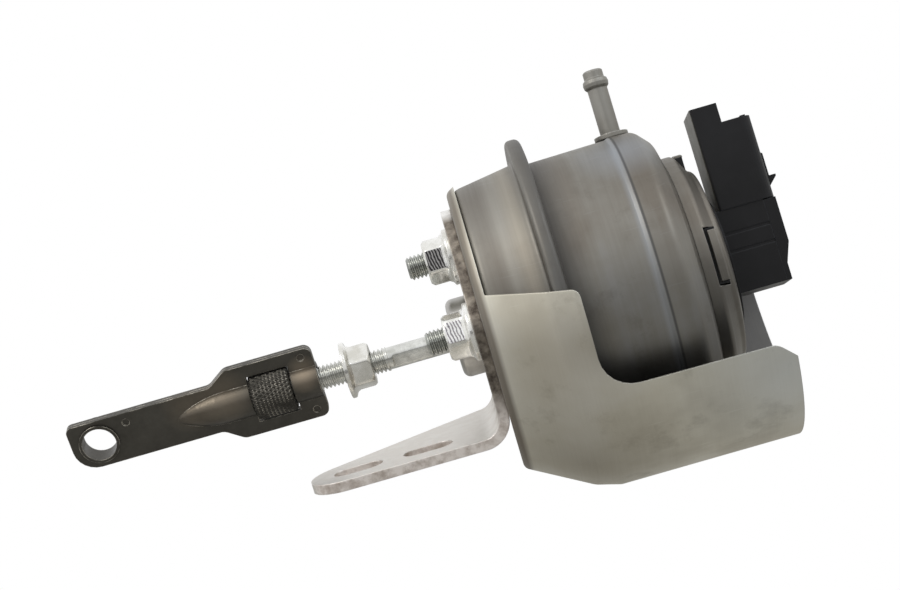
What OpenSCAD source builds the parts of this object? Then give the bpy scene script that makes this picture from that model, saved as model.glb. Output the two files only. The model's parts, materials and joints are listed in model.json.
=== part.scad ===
// Vacuum wastegate actuator: a canister with a spring and diaphragm, its bracket and heat shield,
// a rod with an adjustable end link, and a position sensor with a plug socket.
// The rod's axis runs along X: the link lies towards -X, the sensor towards +X. Lengths are in millimetres.
// Stations along the axis are counted from the front face of the bracket's plate.

/* [Bracket] */
// Thickness of the bent bracket plate
bracket_t = 2.5; // [2:0.1:3]
// Height of the rod axis above the tongue's bolting face
axis_height = 23; // [22:0.1:28]
// Sideways distance from the line of slots to the rod axis
axis_side = 18; // [17:0.5:20]
// Distance from the middle of the slots to the plate's front face
slots_to_plate = 26.7; // [25:0.1:30]
// Distance between the two slots' centres
slot_spacing = 17.2; // [16:0.1:18]
// End-to-end length of a slot
slot_length = 12.2; // [10:0.1:13]
// Width of a slot
slot_w = 6.6; // [5:0.1:7]
// Inner radius of the bend between plate and tongue
bend_r = 4.5; // [3:0.1:5]
// Radius of the tongue's rounded tip
tongue_tip_r = 9; // [8:0.1:9.4]
// Distance from the outer slot's centre to the centre of the tongue's tip
tongue_reach = 2.7; // [2:0.1:6]
// Distance from the rod axis to the bracket's near edge
near_edge = 27; // [26.5:0.1:28]
// Distance from the rod axis to the tongue's far edge at the bend
tongue_far = 10; // [8:0.1:14]

/* [Studs and nuts] */
// Diameter of the studs and of the rod's thread
thread_d = 6; // [5.8:0.05:6.2]
// Distance of the top stud from the rod axis
stud_top = 19.8; // [19.5:0.1:22]
// Sideways distance of the two side studs from the rod axis
stud_side = 19.5; // [19.5:0.1:21]
// Height of the near stud above the rod axis
stud_rise = 3.7; // [0:0.1:4]
// Depth of the far stud below the rod axis
stud_drop = 2.3; // [0:0.1:3]
// Length of a stud in front of the plate
stud_out = 11.4; // [9:0.1:12]
// Size across the flats of a flange nut
nut_af = 10; // [9:0.1:10.5]
// Diameter of a nut's flange
nut_flange_d = 14; // [13:0.1:14]
// Full height of a flange nut
nut_h = 6.8; // [6:0.1:8]

/* [Canister] */
// Clocking of the canister's rear end about the rod axis, from upright towards the far side
canister_turn = 13; // [0:1:20]
// Outer radius of the rear can
rear_can_r = 36.6; // [34:0.1:40]
// How far the front can's rear end is wider than the rear can
front_can_step = 0.6; // [0:0.1:1.2]
// How far the front can narrows towards its front corner
front_can_draft = 2.4; // [2:0.1:3]
// Width of the crimped flange that holds the diaphragm, from the rear can outwards
crimp_width = 6.4; // [5.4:0.1:7]
// Station of the crimped flange's front face
crimp_x = 19.5; // [18:0.1:21]
// Station of the step on the rear can
step_x = 44; // [42:0.1:44.5]
// Station where the rear can's end face starts to fall
shoulder_x = 50; // [49.8:0.1:51]
// Station of the rear can's end face
rear_face_x = 54.5; // [54:0.1:56]
// Sheet thickness of the front can
front_wall = 0.9; // [0.7:0.05:1]
// Sheet thickness of the rear can
rear_wall = 1; // [0.8:0.05:1.1]
// Radius of the rod guide's boss
boss_r = 9.8; // [9:0.1:10.5]
// How far the rod guide stands in front of the plate
boss_out = 5.3; // [4.5:0.1:6]

/* [Nipple] */
// Station of the hose nipple
nipple_x = 45.6; // [45:0.1:46]
// Length of the nipple outside the can
nipple_length = 17.5; // [12:0.1:22]
// Outer diameter of the nipple's tube
nipple_d = 5; // [4.4:0.1:5.6]
// Diameter of the bead that holds the hose
nipple_bead_d = 6.4; // [6:0.1:7]
// Bore of the nipple
nipple_bore = 3; // [2:0.1:3.4]
// Diameter of the nipple's base flange
nipple_base_d = 8.5; // [8:0.1:10]

/* [Heat shield] */
// Clearance between the crimped flange and the shield's barrel
shield_gap = 1.2; // [1:0.1:3]
// Sheet thickness of the shield
shield_t = 0.8; // [0.6:0.05:0.9]
// Station where the barrel reaches its full radius
shield_flare_x = 22; // [20:0.5:24]
// Station of the shield's rear edge on the near side
shield_rear_x = 68.5; // [64:0.5:72]
// How far the far wall reaches behind the near one
far_reach = 5.5; // [2:0.5:8]
// Height of the near tab's front corner above the rod axis
tab_front_z = 13; // [12:0.5:18]
// Height of the near tab's rear corner above the rod axis
tab_rear_z = 10; // [8:0.5:11]
// Station of the near tab's rear edge
tab_rear_x = 25; // [24:0.5:27]
// Depth of the near wall's top edge below the rod axis
low_edge_z = 14.2; // [12:0.5:18]
// Height of the far wall's top edge above the rod axis
far_edge_z = 6; // [0:0.5:12]

/* [Rod and piston] */
// Travel of the rod from its spring-loaded rest into the canister
stroke = 10; // [8:0.5:11]
// Diameter of the rod's smooth neck
neck_d = 5.5; // [5.2:0.05:5.6]
// Size across the rod's spanner flats
flats_af = 4.6; // [4.2:0.1:5]
// Width of the gap that the diaphragm rolls in, between the piston and the rear can
roll_width = 7.6; // [7:0.1:9]
// Length of the piston's skirt
skirt_length = 12; // [8:0.5:14]
// Thickness of the diaphragm's rubber
diaphragm_t = 0.8; // [0.6:0.05:0.9]

/* [Spring] */
// Wire diameter of the return spring
wire_d = 2.6; // [2:0.1:3]
// Mean radius of the return spring
spring_r = 19; // [17:0.5:20]
// Turns of the return spring, with the two closed ends
spring_turns = 6; // [5:0.5:7]

/* [End link] */
// Turn of the link about the rod axis, its upper edge towards the near side
link_roll = 15; // [0:1:20]
// Thickness of each of the link's two pressed plates
plate_t = 1.2; // [1:0.05:1.3]
// Distance from the rod axis to the edge of the link's narrow arm
arm_half = 6.1; // [6:0.1:7]
// Distance from the rod axis to the edge of the link's wide end
wide_half = 9.4; // [9:0.1:10]
// Station of the eye's centre
eye_x = -95.9; // [-104:0.1:-92]
// Distance from the eye's centre to the link's outer end
link_tip = 6.9; // [6.4:0.1:8]
// Bore of the eye bush
eye_bore = 8.4; // [7.5:0.1:8.8]
// Outer diameter of the eye bush
eye_d = 10; // [9.8:0.1:10.4]
// Length of the eye bush
eye_length = 5.6; // [4:0.1:7]
// Station of the link's inner end
link_end_x = -39.6; // [-40:0.1:-39]
// Station of the adjusting nut's middle
adjuster_x = -51.5; // [-52:0.1:-51]
// Diameter of the adjusting nut
adjuster_d = 11.7; // [11:0.1:11.8]
// Length of the adjusting nut
adjuster_length = 10; // [9:0.1:11]

/* [Sensor] */
// Width of the sensor's housing, across the axis
sensor_w = 16; // [15.5:0.1:18]
// Station of the sensor housing's front face
sensor_x = 63; // [62.9:0.1:64]
// Length of the sensor's housing along the axis
sensor_length = 15.6; // [15:0.1:17]
// How far the plug socket's front is set back from the housing's front
socket_step = 1.6; // [1:0.1:2]
// Depth of the sensor's housing below the rod axis
sensor_low = 8.9; // [8:0.1:10]
// Height of the socket's rim above the rod axis
socket_top = 32.2; // [31:0.1:35]
// Height of the socket's raised front guard above the rod axis
guard_top = 37.1; // [36:0.1:40]
// Height of the socket's floor above the rod axis
socket_floor = 14.5; // [13:0.1:16]
// Thickness of the socket's walls
socket_wall = 1.6; // [1.4:0.05:1.8]
// Distance between terminals
terminal_pitch = 3.8; // [3.5:0.1:4]

/* [Hidden] */

// Clearances between pieces
running_gap = 0.05;
thread_gap = 0.05;
seat_gap = 0.1;
hole_gap = 0.2;
rubber_gap = 0.3;

// Facets for round pieces, and for one corner of an outline
$fn = 96;
corner_steps = 6;

// Colours
zinc = [0.80, 0.80, 0.78];
can_steel = [0.52, 0.51, 0.49];
shield_steel = [0.60, 0.58, 0.54];
dark_steel = [0.20, 0.19, 0.18];
bare_steel = [0.66, 0.65, 0.63];
rubber = [0.10, 0.10, 0.10];
black_plastic = [0.09, 0.09, 0.10];
natural_plastic = [0.75, 0.72, 0.64];
terminal_tin = [0.78, 0.74, 0.62];

// Inner pieces of the canister, by station
shield_front_x = bracket_t;
can_front_x = shield_front_x + shield_t;
can_inside_x = can_front_x + front_wall;
disc_back_x = can_front_x + 1.4;
boss_hole_r = boss_r + hole_gap;
bend_top = bracket_t + bend_r;
plate_top_r = 11.2;
guide_wall = 1.2;
guide_flange_r = boss_r + 3.8;
seal_length = 2.6;
boss_corner = 1.8;
bush_back = 0.6;
collar_length = 1.4;
retainer_t = 1;
retainer_r = 14;
front_can_r = rear_can_r + front_can_step;
front_corner_r = front_can_r - front_can_draft;
crimp_r = rear_can_r + crimp_width;
shield_r = crimp_r + shield_gap + shield_t;
rear_inner_r = rear_can_r - rear_wall;
piston_r = rear_inner_r - roll_width;
piston_t = 1;
piston_corner = 1.5;
seat_t = 1.1;
seat_margin = 4.7;
seat_lip = 3;
guide_back_x = can_inside_x + guide_wall;
retainer_x = guide_back_x + collar_length;
diaphragm_x = retainer_x + retainer_t;
piston_x = diaphragm_x + diaphragm_t;
spigot_r = 2.9;
peen_r = 4.5;
peen_t = 1.2;
rod_back_x = piston_x + piston_t + peen_t;

// The crimped joint, front to back: front can, diaphragm bead, rear can flange, folded lip
bead_x = crimp_x + front_wall;
flange_x = bead_x + diaphragm_t;
flange_back_x = flange_x + rear_wall;
lip_x = flange_back_x + front_wall;
lip_length = 4;
flare_step = 1.6;
fold_gap = 0.5;
flange_r = crimp_r - front_wall - fold_gap;
convolution_x = 28;

// The rear can's end and the sensor's seat on it
step_rise = 0.4;
shoulder_step = 3.4;
nipple_top = rear_can_r + step_rise + nipple_length;
cap_r = 28.4;
cap_wall = 0.9;
neck_hole_r = 17.5;
cap_step_r = 23.4;
cap_hole_r = 16;
cap_shoulder = 3.1;
cap_step = 5.7;
cap_length = 8.1;
cap_dish = 2.5;
cap_shoulder_x = rear_face_x + cap_shoulder;
cap_step_x = rear_face_x + cap_step;
cap_back_x = rear_face_x + cap_length;
flange_plastic_r = 21.8;
flange_plastic_x = cap_shoulder_x - hole_gap;
flange_plastic_t = 2.5;
barrel_r = 11;
barrel_front_x = rear_face_x - 9;
cover_t = 3;
plunger_r = 4;
plunger_bore_r = plunger_r + running_gap;
plunger_wire_d = 0.6;
plunger_turns = 7;
bore_wall = 2;
socket_x = sensor_x + socket_step;
sensor_back_x = sensor_x + sensor_length;
plunger_bore_x = sensor_back_x - cover_t - bore_wall;
plunger_end_x = plunger_bore_x - stroke - plunger_turns * plunger_wire_d - hole_gap;
lug_half = 6.7;
lug_r = 26.9;
box_top = 11.5;
box_inset = 0.3;
box_chamfer = 1.8;
chamfer_heights = [4, 9];
groove_heights = [0.8, 5.2];
groove_w = 0.8;
guard_length = 6.8;
catch_z = 15.4;
key_w = 3;
key_h = 1.2;
terminal_count = 3;

// The end link's shape, by station
window_gap = 0.3;
eye_lip = 0.3;
wide_start_x = -61.4;
arm_end_x = -66;
bulge_tip_x = -78;
bulge_full_x = -63;
bulge_r = 4.4;
tunnel_x = -72;
tunnel_tip_r = 0.8;
link_tip_x = eye_x - link_tip;
dimple_r = 0.9;
dimple_places = [[eye_x + 7.9, 3.6], [link_end_x - 2.9, 7.2], [link_end_x - 2.9, -7.2]];
rod_hole_r = thread_d / 2 + hole_gap;
rod_front_x = -60;
thread_end_x = -22.2;
flats_x = [-20.9, -11.6];
lock_nut_x = -33;

// Unit vector along v, and v turned a quarter turn to the left
function unit(v) = v / norm(v);
function left(v) = [-v.y, v.x];

// Point i of a path moved to the path's left by t, on the corner's mitre
function offset_point(path, i, t) =
    let (before = unit(i == 0 ? path[1] - path[0] : path[i] - path[i - 1]))
    let (after = unit(i == len(path) - 1 ? path[i] - path[i - 1] : path[i + 1] - path[i]))
    let (mitre = unit(left(before) + left(after)))
    path[i] + mitre * t / (mitre * left(before));

// Closed outline of a sheet of thickness t that lies on the left of a path
function sheet(path, t) =
    concat(path, [for (i = [len(path) - 1 : -1 : 0]) offset_point(path, i, t)]);

// Arc of radius r that rounds the corner at b on the way from a to c
function rounded_corner(a, b, c, r) =
    let (u = unit(a - b))
    let (v = unit(c - b))
    let (half = acos(u * v) / 2)
    let (centre = b + unit(u + v) * r / sin(half))
    let (start = b + u * r / tan(half) - centre)
    let (turn = (180 - 2 * half) * sign(u.x * v.y - u.y * v.x) * -1)
    [for (k = [0 : corner_steps]) centre + turned_by(start, turn * k / corner_steps)];

function turned_by(v, angle) =
    [v.x * cos(angle) - v.y * sin(angle), v.x * sin(angle) + v.y * cos(angle)];

// Open path through points [x, y, r], where a third number rounds that corner
function round_path(points) =
    [for (i = [0 : len(points) - 1])
        let (p = points[i])
        let (inner = i > 0 && i < len(points) - 1 && len(p) == 3)
        each inner ? rounded_corner(flat(points[i - 1]), flat(p), flat(points[i + 1]), p[2]) : [flat(p)]];

// Closed outline through points [x, y, r]
function round_outline(points) =
    [for (i = [0 : len(points) - 1])
        let (n = len(points))
        let (p = points[i])
        let (a = flat(points[(i + n - 1) % n]))
        let (c = flat(points[(i + 1) % n]))
        each len(p) == 3 ? rounded_corner(a, flat(p), c, p[2]) : [flat(p)]];

function flat(p) = [p.x, p.y];

// Places its children by the crossing of the rod axis and the plate's front face
module at_plate() {
    translate([slots_to_plate, axis_side, axis_height]) children();
}

// Places its children below that crossing, on the tongue's bolting face
module under_plate() {
    translate([slots_to_plate, axis_side, 0]) children();
}

// Stands its children's Z axis along the rod axis, with X downwards and Y across
module on_axis() {
    at_plate() rotate([0, 90, 0]) children();
}

// Turns its children with the canister's rear end
module on_canister() {
    at_plate() rotate([-canister_turn, 0, 0]) children();
}

// Turns its children with the end link
module on_link() {
    at_plate() rotate([link_roll, 0, 0]) children();
}

// A turned or drawn piece about the rod axis, from an outline of [radius, station]
module turned(outline) {
    on_axis() rotate_extrude() polygon(outline);
}

// A round bar about the rod axis between two stations
module axis_bar(r, from, to) {
    on_axis() translate([0, 0, from]) cylinder(h = to - from, r = r);
}

// Two discs and the straight sides that touch both
module tapered_bar(a, ra, b, rb) {
    along = b - a;
    lean = acos((ra - rb) / norm(along));
    heading = atan2(along.y, along.x);
    up = heading + lean;
    down = heading - lean;
    translate(a) circle(ra);
    translate(b) circle(rb);
    polygon([
        a + ra * [cos(up), sin(up)], a + ra * [cos(down), sin(down)],
        b + rb * [cos(down), sin(down)], b + rb * [cos(up), sin(up)]
    ]);
}

// Point where a line from p touches a circle, on the side that is given as 1 or -1
function tangent_point(p, centre, r, side) =
    let (away = p - centre)
    let (angle = atan2(away.y, away.x) + side * acos(r / norm(away)))
    centre + r * [cos(angle), sin(angle)];

// Places of the three studs, as [across, up] from the rod axis
stud_places = [[0, stud_top], [-stud_side, stud_rise], [stud_side, -stud_drop]];

module stud_holes(from, to) {
    for (place = stud_places)
        at_plate()
            translate([from, place.x, place.y])
                rotate([0, 90, 0]) cylinder(h = to - from, r = thread_d / 2 + hole_gap);
}

// Front view of the bracket's plate, above the bend, with heights from the bolting face
module plate_outline() {
    lobe_r = near_edge - stud_side;
    studs = [for (place = stud_places) place + [0, axis_height]];
    far_corner = [tongue_far, bend_top];
    tapered_bar(studs[0], plate_top_r, studs[1], lobe_r);
    tapered_bar(studs[0], plate_top_r, studs[2], lobe_r);
    polygon([
        [-near_edge, bend_top], far_corner, tangent_point(far_corner, studs[2], lobe_r, 1),
        studs[2], studs[0], studs[1], [-near_edge, studs[1].y]
    ]);
}

// Top view of the tongue, from its tip to the bend
module tongue_outline() {
    tip = [-slots_to_plate - slot_spacing / 2 - tongue_reach, tongue_tip_r - near_edge];
    heel = [-bend_r, tongue_far];
    translate(tip) circle(tongue_tip_r);
    polygon([
        tip + [0, -tongue_tip_r], [heel.x, -near_edge], heel, tangent_point(heel, tip, tongue_tip_r, 1)
    ]);
}

// The bent mounting bracket: a plate for the studs, and a tongue with two slots
module bracket() {
    width = near_edge + tongue_far;
    color(zinc) difference() {
        union() {
            under_plate() rotate([90, 0, 90]) linear_extrude(bracket_t) plate_outline();
            under_plate() linear_extrude(bracket_t) tongue_outline();
            under_plate() translate([-bend_r, tongue_far, bend_top])
                rotate([90, 0, 0]) rotate_extrude(angle = -90)
                    translate([bend_r, 0]) square([bracket_t, width]);
        }
        axis_bar(boss_hole_r, -1, bracket_t + 1);
        stud_holes(-1, bracket_t + 1);
        for (side = [-1, 1])
            translate([side * slot_spacing / 2, 0, -1]) slot();
    }
}

module slot() {
    reach = (slot_length - slot_w) / 2;
    for (end = [-1, 1])
        translate([end * reach, 0, 0]) cylinder(h = bracket_t + 2, r = slot_w / 2);
    translate([-reach, -slot_w / 2, 0]) cube([2 * reach, slot_w, bracket_t + 2]);
}

// The pressed heat shield: a disc behind the bracket, a flare and a barrel open at the top
module heat_shield() {
    path = round_path([
        [boss_hole_r, shield_front_x], [front_corner_r, shield_front_x, 2],
        [shield_r - flare_step, shield_flare_x - 4, 6], [shield_r, shield_flare_x + 2, 4],
        [shield_r, shield_rear_x + far_reach]
    ]);
    color(shield_steel) difference() {
        turned(sheet(path, shield_t));
        stud_holes(shield_front_x - 1, can_front_x + 1);
        at_plate() rotate([90, 0, 0]) linear_extrude(2 * shield_r) near_cut();
        at_plate() translate([0, 2 * shield_r, 0]) rotate([90, 0, 0]) linear_extrude(2 * shield_r) far_cut();
    }
}

// Side view of what is cut away above and behind the shield's near wall
module near_cut() {
    above = 2 * shield_r;
    behind = shield_rear_x + 2 * far_reach;
    near_corner = 4;
    polygon(round_outline([
        [disc_back_x, above], [disc_back_x, tab_front_z], [tab_rear_x, tab_rear_z, 2],
        [tab_rear_x, -low_edge_z, 8], [shield_rear_x - near_corner, -low_edge_z - 0.5, near_corner],
        [shield_rear_x, -low_edge_z - near_corner - 0.5], [shield_rear_x, -above], [behind, -above],
        [behind, above]
    ]));
}

// Side view of what is cut away above and behind the shield's far wall
module far_cut() {
    above = 2 * shield_r;
    far_rear_x = shield_rear_x + far_reach;
    past_rear_x = far_rear_x + 0.5;
    behind = far_rear_x + far_reach;
    far_corner = 7;
    far_slope = [2, 16];
    polygon(round_outline([
        [disc_back_x, above], [disc_back_x, tab_front_z], [tab_rear_x, far_edge_z, 8],
        [far_rear_x - far_corner, far_edge_z, far_corner], [past_rear_x, far_edge_z - far_corner],
        [past_rear_x, far_slope[1] - shield_r], [shield_rear_x, far_slope[0] - shield_r],
        [shield_rear_x, -above],
        [behind, -above], [behind, above]
    ]));
}

// A stud with its head inside the front can
module stud(place) {
    head_r = 4.5;
    head_t = 1.6;
    tip_chamfer = 0.6;
    r = thread_d / 2;
    color(zinc) at_plate() translate([-stud_out, place.x, place.y]) rotate([0, 90, 0]) union() {
        cylinder(h = tip_chamfer, r1 = r - tip_chamfer, r2 = r);
        translate([0, 0, tip_chamfer]) cylinder(h = stud_out + can_inside_x - tip_chamfer, r = r);
        translate([0, 0, stud_out + can_inside_x]) cylinder(h = head_t, r = head_r);
    }
}

module stud_top() {
    stud(stud_places[0]);
}

module stud_near() {
    stud(stud_places[1]);
}

module stud_far() {
    stud(stud_places[2]);
}

// A hexagon nut with its flange at the origin and its top towards +Z
module flange_nut(turn) {
    flange_t = 1.3;
    difference() {
        union() {
            cylinder(h = flange_t, r = nut_flange_d / 2);
            intersection() {
                rotate([0, 0, turn]) cylinder(h = nut_h, r = nut_af / 2 / cos(30), $fn = 6);
                cylinder(h = nut_h, r1 = nut_flange_d / 2 + 1, r2 = nut_af / 2 + 0.1);
            }
        }
        translate([0, 0, -1]) cylinder(h = nut_h + 2, r = thread_d / 2 + thread_gap);
    }
}

module stud_nut(place, turn) {
    color(zinc) at_plate() translate([0, place.x, place.y]) rotate([0, -90, 0]) flange_nut(turn);
}

module nut_top() {
    stud_nut(stud_places[0], 12);
}

module nut_near() {
    stud_nut(stud_places[1], 22);
}

module nut_far() {
    stud_nut(stud_places[2], 5);
}

// The front can, whose folded edge grips the diaphragm and the rear can
module front_can() {
    path = round_path([
        [boss_hole_r, can_front_x], [front_corner_r, can_front_x, 3], [front_can_r, crimp_x, 1],
        [crimp_r, crimp_x, 1.1], [crimp_r, lip_x, 1.4], [crimp_r - lip_length, lip_x]
    ]);
    color(can_steel) difference() {
        turned(sheet(path, front_wall));
        stud_holes(can_front_x - 1, can_inside_x + 1);
    }
}

// The rear can, drawn in one piece with a step and a conical shoulder
module rear_can() {
    path = round_path([
        [flange_r, flange_back_x], [rear_can_r - 0.3, flange_back_x, 1.2], [rear_can_r, step_x - 0.8],
        [rear_can_r + step_rise, step_x], [rear_can_r + 0.2, shoulder_x, 3.2],
        [rear_can_r - shoulder_step, rear_face_x - 1.2, 1.5], [cap_r, rear_face_x],
        [neck_hole_r, rear_face_x]
    ]);
    color(can_steel) difference() {
        turned(sheet(path, rear_wall));
        on_canister() translate([nipple_x, 0, rear_inner_r - 3]) cylinder(h = 8, r = nipple_d / 2 + hole_gap);
    }
}

// The boss that carries the rod's bush, flanged inside the can
module rod_guide() {
    path = round_path([
        [rod_hole_r + 0.2, -boss_out], [boss_r, -boss_out, boss_corner], [boss_r, can_inside_x],
        [guide_flange_r, can_inside_x]
    ]);
    color(bare_steel) turned(sheet(path, guide_wall));
}

// The bush that the rod slides in
module guide_bush() {
    front = seal_length + guide_wall - boss_out;
    back = guide_back_x - bush_back;
    outer = boss_r - guide_wall - seat_gap;
    color(natural_plastic) difference() {
        axis_bar(outer, front, back);
        axis_bar(neck_d / 2 + running_gap, front - 1, back + 1);
    }
}

// The rubber wiper in front of the bush
module rod_seal() {
    front = guide_wall - boss_out;
    outer = boss_r - guide_wall - seat_gap;
    bore = neck_d / 2 + running_gap;
    corner = boss_corner - guide_wall;
    color(rubber) turned([
        [bore, front + 0.8], [bore + 1.2, front], [outer - corner, front], [outer, front + corner],
        [outer, front + seal_length],
        [bore + 0.6, front + seal_length], [bore, front + seal_length - 0.6]
    ]);
}

// The rolling diaphragm at the rod's rest
module diaphragm() {
    outside = rear_inner_r - rubber_gap - 0.3;
    inside = piston_r + hole_gap;
    fold = (outside - inside) / 2 - 0.05;
    color(rubber) turned(sheet(round_path([
        [flange_r - hole_gap, flange_x], [outside, flange_x, 1.2], [outside, convolution_x, fold],
        [inside, convolution_x, fold], [inside, piston_x, piston_corner], [spigot_r + running_gap, piston_x]
    ]), diaphragm_t));
}

// Points of one ring of the wire, and the tube that joins the rings
function wire_ring(centre, heading, r, sides) =
    [for (k = [0 : sides - 1])
        let (a = 360 * k / sides)
        centre + r * cos(a) * [cos(heading), sin(heading), 0] + [0, 0, r * sin(a)]];

module coil_spring(mean_r, wire, length, turns, steps, sides) {
    rings = turns * steps;
    free = length - 3 * wire;
    rise = [for (k = [0 : rings])
        let (turn = k / steps)
        turn < 1 ? wire * turn : turn > turns - 1 ? length - wire - wire * (turns - turn)
            : wire + free * (turn - 1) / (turns - 2)];
    points = [for (k = [0 : rings])
        let (heading = 360 * k / steps)
        let (centre = [mean_r * cos(heading), mean_r * sin(heading), wire / 2 + rise[k]])
        each wire_ring(centre, heading, wire / 2, sides)];
    walls = [for (k = [0 : rings - 1], j = [0 : sides - 1])
        let (a = k * sides + j)
        let (b = k * sides + (j + 1) % sides)
        [a, b, b + sides, a + sides]];
    start = [for (j = [sides - 1 : -1 : 0]) j];
    end = [for (j = [0 : sides - 1]) rings * sides + j];
    polyhedron(points, concat([start], walls, [end]));
}

// The return spring, from the piston to its seat
module return_spring() {
    from = piston_x + piston_t + seat_gap;
    to = rear_face_x - rear_wall - seat_t - seat_gap;
    color(bare_steel) on_axis() translate([0, 0, from])
        coil_spring(spring_r, wire_d, to - from, spring_turns, 20, 8);
}

// The washer cup that centres the spring on the rear can
module spring_seat() {
    back = rear_face_x - rear_wall;
    lip_r = spring_r + wire_d / 2 + seat_margin;
    lip_x = back - seat_lip;
    inner_r = spring_r - wire_d / 2 - seat_margin;
    path = round_path([[lip_r, lip_x], [lip_r, back, 1.6], [inner_r, back]]);
    color(bare_steel) turned(sheet(path, seat_t));
}

// The hose nipple with its bead, brazed into the rear can
module nipple() {
    can_r = rear_can_r + step_rise;
    spigot_low = rear_inner_r - 0.8;
    base_low = can_r - 2;
    bead_z = nipple_top - 3.3;
    bead_r = nipple_bead_d / 2;
    tube_r = nipple_d / 2;
    color(can_steel) difference() {
        union() {
            difference() {
                on_canister() translate([nipple_x, 0, 0]) rotate_extrude() polygon([
                    [0, base_low], [nipple_base_d / 2, base_low], [nipple_base_d / 2, can_r + 0.9],
                    [tube_r, can_r + 1.1], [tube_r, bead_z - 1.5], [bead_r - 0.15, bead_z - 0.9],
                    [bead_r, bead_z], [bead_r - 0.15, bead_z + 0.8], [tube_r, bead_z + 1.3],
                    [tube_r, nipple_top - 0.3], [tube_r - 0.3, nipple_top], [0, nipple_top]
                ]);
                axis_bar(can_r + 0.02, nipple_x - nipple_base_d, nipple_x + nipple_base_d);
            }
            on_canister() translate([nipple_x, 0, spigot_low])
                cylinder(h = can_r + 1 - spigot_low, r = tube_r);
        }
        on_canister() translate([nipple_x, 0, spigot_low - 1])
            cylinder(h = nipple_top - spigot_low + 2, r = nipple_bore / 2);
    }
}

// The crimped steel cap that holds the sensor, notched for the sensor's lugs
module sensor_cap() {
    path = round_path([
        [cap_r, rear_face_x + running_gap], [cap_r, cap_shoulder_x, 1.4], [cap_step_r + 0.6, cap_step_x, 1],
        [cap_step_r, cap_step_x + 1.2, 1.1], [cap_hole_r + cap_dish, cap_back_x - 0.2, 1.2],
        [cap_hole_r, cap_back_x]
    ]);
    color(can_steel) difference() {
        turned(sheet(path, cap_wall));
        for (quarter = [0 : 3])
            on_canister() rotate([quarter * 90, 0, 0])
                translate([cap_shoulder_x - 0.35, -lug_half - 0.3, cap_step_r - 4])
                    cube([flange_plastic_t + 0.6, 2 * lug_half + 0.6, 12]);
    }
}

// The rubber ring between the sensor and the rear can
module sensor_seal() {
    inner = neck_hole_r + cap_wall;
    outer = flange_plastic_r - hole_gap;
    color(rubber) turned([
        [inner, rear_face_x], [outer, rear_face_x], [outer, flange_plastic_x], [inner, flange_plastic_x]
    ]);
}

// The sensor's moulded housing: barrel, lugged flange, electronics box and plug socket
module sensor_body() {
    neck_r = cap_hole_r - hole_gap;
    bite = 0.3;
    color(black_plastic) difference() {
        union() {
            axis_bar(barrel_r, barrel_front_x, flange_plastic_x + bite);
            on_canister() translate([flange_plastic_x, 0, 0]) rotate([0, 90, 0])
                linear_extrude(flange_plastic_t) lugged_disc();
            axis_bar(neck_r, flange_plastic_x + 2 * bite, sensor_x + bite);
            on_canister() sensor_box();
            on_canister() translate([0, 0, box_top]) linear_extrude(socket_top - box_top)
                socket_outline(0);
            on_canister() translate([0, 0, box_top]) linear_extrude(guard_top - box_top) intersection() {
                socket_outline(0);
                translate([socket_x, -sensor_w / 2]) square([guard_length, sensor_w]);
            }
            on_canister() translate([sensor_back_x, 0, catch_z]) plug_catch();
            on_canister() translate([sensor_back_x - socket_wall, -key_w / 2, socket_top - bite])
                cube([socket_wall - bite, key_w, key_h + bite]);
        }
        on_canister() translate([0, 0, socket_floor]) linear_extrude(guard_top) socket_outline(socket_wall);
        axis_bar(plunger_bore_r, barrel_front_x - 1, plunger_bore_x);
        for (i = [0 : terminal_count - 1])
            on_canister() terminal_blade(i, running_gap);
    }
}

// The electronics box below the socket, a little narrower and grooved on both sides
module sensor_box() {
    length = sensor_length - cover_t;
    half = sensor_w / 2 - box_inset;
    difference() {
        translate([sensor_x, -half, -sensor_low]) cube([length, 2 * half, sensor_low + box_top]);
        for (z = groove_heights, side = [-1, 1])
            translate([sensor_x - 1, side * half - groove_w / 4, z])
                cube([length + 2, groove_w / 2, groove_w]);
    }
}

// The raised pad on the socket's back, with the hook that holds the plug
module plug_catch() {
    hook_w = 6;
    rotate([90, 0, 0]) linear_extrude(hook_w, center = true) polygon([
        [-0.5, -1.2], [0, -1.2], [2.4, 1.2], [2.4, 1.7], [0.8, 1.7], [0.8, 7.4], [0, 7.9], [-0.5, 7.9]
    ]);
}

// The sensor's flange with the four lugs that stand in the cap's notches
module lugged_disc() {
    circle(flange_plastic_r);
    for (quarter = [0 : 3])
        rotate(quarter * 90) translate([0, -lug_half]) square([lug_r, 2 * lug_half]);
}

// Top view of the socket's housing, moved inwards by inset
module socket_outline(inset) {
    half = sensor_w / 2 - inset;
    polygon(round_outline([
        [socket_x + inset, -half, 0.8], [sensor_back_x - inset, -half, 2.6 - inset],
        [sensor_back_x - inset, half, 2.6 - inset], [socket_x + inset, half, 0.8]
    ]));
}

// The glued lid at the back of the electronics box, chamfered towards its lower end
module sensor_cover() {
    half = sensor_w / 2 - box_inset;
    top = box_top - hole_gap;
    color(black_plastic) on_canister() rotate([90, 0, 0]) linear_extrude(2 * half, center = true) polygon([
        [sensor_back_x - cover_t, -sensor_low], [sensor_back_x - box_chamfer, -sensor_low],
        [sensor_back_x - box_chamfer, chamfer_heights[0] - sensor_low],
        [sensor_back_x, chamfer_heights[1] - sensor_low],
        [sensor_back_x, top], [sensor_back_x - cover_t, top]
    ]);
}

// One terminal: a blade that stands in the socket, with its foot in the floor
module terminal_blade(i, gap) {
    blade = [0.8, 2, 7.5];
    foot = 3;
    across = (i - (terminal_count - 1) / 2) * terminal_pitch;
    middle_x = (socket_x + sensor_back_x) / 2;
    translate([middle_x - blade.x / 2 - gap, across - blade.y / 2 - gap, socket_floor - foot - gap])
        cube([blade.x + 2 * gap, blade.y + 2 * gap, blade.z + foot + gap]);
}

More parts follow.
